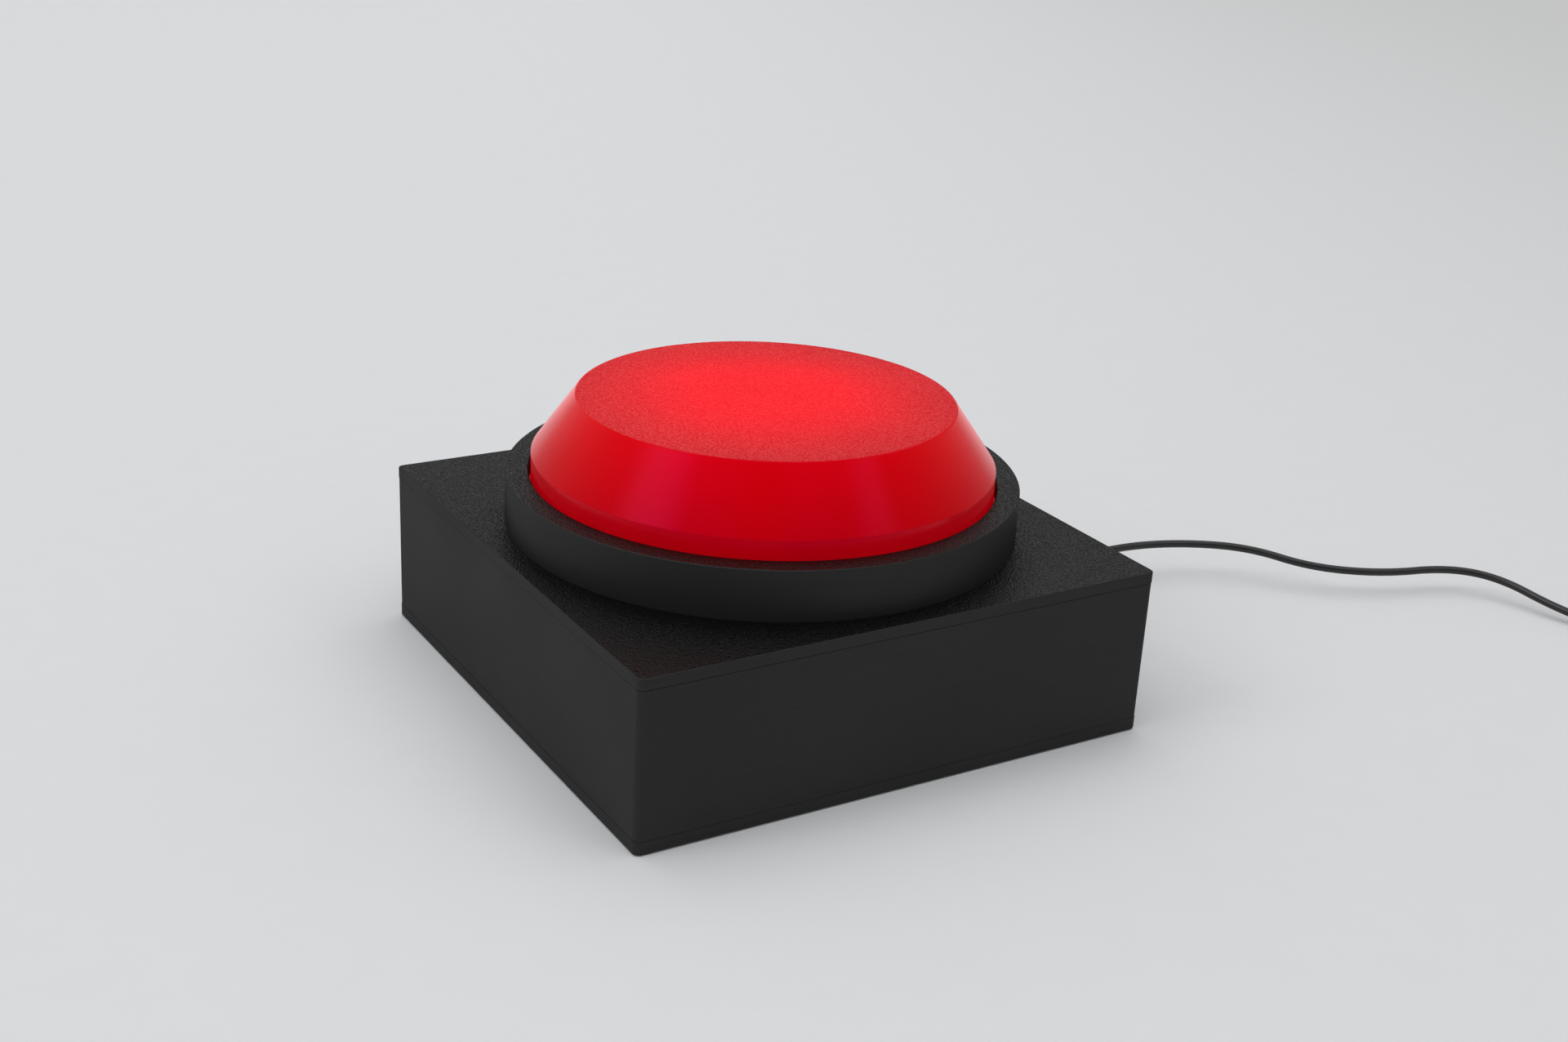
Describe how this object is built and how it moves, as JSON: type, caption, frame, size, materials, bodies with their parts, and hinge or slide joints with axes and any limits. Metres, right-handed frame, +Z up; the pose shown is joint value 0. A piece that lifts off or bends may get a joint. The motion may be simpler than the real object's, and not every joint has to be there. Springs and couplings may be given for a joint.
{
  "type": "quiz buzzer",
  "caption": "Square black quiz buzzer box with a large round lit red push button in a black collar, sprung on guide posts over lever switches, with a thin lead.",
  "frame": {"origin": "centre of the underside, in the plane of the rubber feet", "axes": "+Z up through the button; -Y the front face; +X the side that the lead leaves from"},
  "size_m": [0.4942, 0.3031, 0.1067],
  "materials": {
    "printed_black": "satin 3D-printed black plastic, fine layer lines on the sides and a pebbled print-sheet grain on the top faces",
    "dome_red": "translucent red printed plastic, satin, lit from inside",
    "printed_inner": "plain black printed plastic",
    "rubber_black": "matte black rubber",
    "cable_black": "satin black flexible jacket",
    "screw_steel": "zinc-plated steel",
    "spring_steel": "drawn spring wire",
    "post_steel": "ground round bar",
    "brass": "turned brass",
    "bush_plastic": "natural low-friction plastic",
    "header_plastic": "off-white moulded connector plastic",
    "board_green": "solder-masked circuit board",
    "board_white": "white solder-masked circuit board",
    "chip_black": "moulded chip package",
    "can_metal": "drawn aluminium can",
    "led_red": "red light chip with a clear lens",
    "switch_black": "moulded switch case",
    "plunger_red": "moulded plunger",
    "wire_red": "insulated wire",
    "contact_gold": "gold-plated contact",
    "strap_fabric": "woven hook-and-loop strap"
  },
  "bodies": {
    "base": {"base_plate": "printed_black", "base_screws": "screw_steel", "board_cans": "can_metal", "board_chips": "chip_black", "board_headers": "header_plastic", "board_screws": "screw_steel", "board_spacers": "bush_plastic", "bracket_screws": "screw_steel", "bumper_pads": "rubber_black", "button_ring": "printed_black", "cable_clamp": "printed_inner", "cable_coil": "cable_black", "cable_grommet": "rubber_black", "cable_inner": "cable_black", "cable_run": "cable_black", "cable_tail": "cable_black", "clamp_base": "printed_inner", "clamp_screws": "screw_steel", "coil_tie": "strap_fabric", "collar_screws": "screw_steel", "controller_board": "board_green", "guide_bushes": "bush_plastic", "housing": "printed_black", "lead_connector": "header_plastic", "led_board": "board_white", "led_chips": "led_red", "led_screws": "screw_steel", "led_socket": "header_plastic", "led_standoffs": "brass", "led_wires": "wire_red", "plug_body": "cable_black", "plug_boot": "cable_black", "plug_contacts": "contact_gold", "plug_shell": "screw_steel", "plug_tongue": "header_plastic", "return_spring_1": "spring_steel", "return_spring_2": "spring_steel", "return_spring_3": "spring_steel", "return_spring_4": "spring_steel", "rubber_feet": "rubber_black", "switch_blades": "contact_gold", "switch_bracket_left": "printed_inner", "switch_bracket_right": "printed_inner", "switch_case_left": "switch_black", "switch_case_right": "switch_black", "switch_nuts": "screw_steel", "switch_pins": "screw_steel", "switch_screws": "screw_steel", "switch_wires": "wire_red", "thread_inserts": "brass"},
    "button": {"button_dome": "dome_red", "button_carrier": "printed_inner", "carrier_screws": "screw_steel", "guide_posts": "post_steel", "switch_pushers": "bush_plastic"},
    "lever_right": {"switch_lever_right": "spring_steel"},
    "plunger_right": {"switch_plunger_right": "plunger_red"},
    "lever_left": {"switch_lever_left": "spring_steel"},
    "plunger_left": {"switch_plunger_left": "plunger_red"}
  },
  "joints": [
    {"name": "button_press", "type": "slide", "parent": "base", "child": "button", "axis": [0, 0, -1], "range_m": [0, 0.005], "stiffness_N_per_m": 1500, "springref_m": -0.003, "deforming": ["return_spring_1", "return_spring_2", "return_spring_3", "return_spring_4"]},
    {"name": "lever_tilt_right", "type": "hinge", "parent": "base", "child": "lever_right", "pos_m": [0.07, -0.02, 0.04825], "axis": [-1, 0, 0], "range_deg": [0, 14.4]},
    {"name": "plunger_slide_right", "type": "slide", "parent": "base", "child": "plunger_right", "axis": [0, 0, -1], "range_m": [0, 0.002]},
    {"name": "lever_tilt_left", "type": "hinge", "parent": "base", "child": "lever_left", "pos_m": [-0.07, -0.02, 0.04825], "axis": [-1, 0, 0], "range_deg": [0, 14.4]},
    {"name": "plunger_slide_left", "type": "slide", "parent": "base", "child": "plunger_left", "axis": [0, 0, -1], "range_m": [0, 0.002]}
  ],
  "couplings": [
    {"joint": "lever_tilt_right", "follows": "button_press", "rad_per_m": 50},
    {"joint": "plunger_slide_right", "follows": "button_press", "ratio": 0.397},
    {"joint": "lever_tilt_left", "follows": "button_press", "rad_per_m": 50},
    {"joint": "plunger_slide_left", "follows": "button_press", "ratio": 0.397}
  ]
}
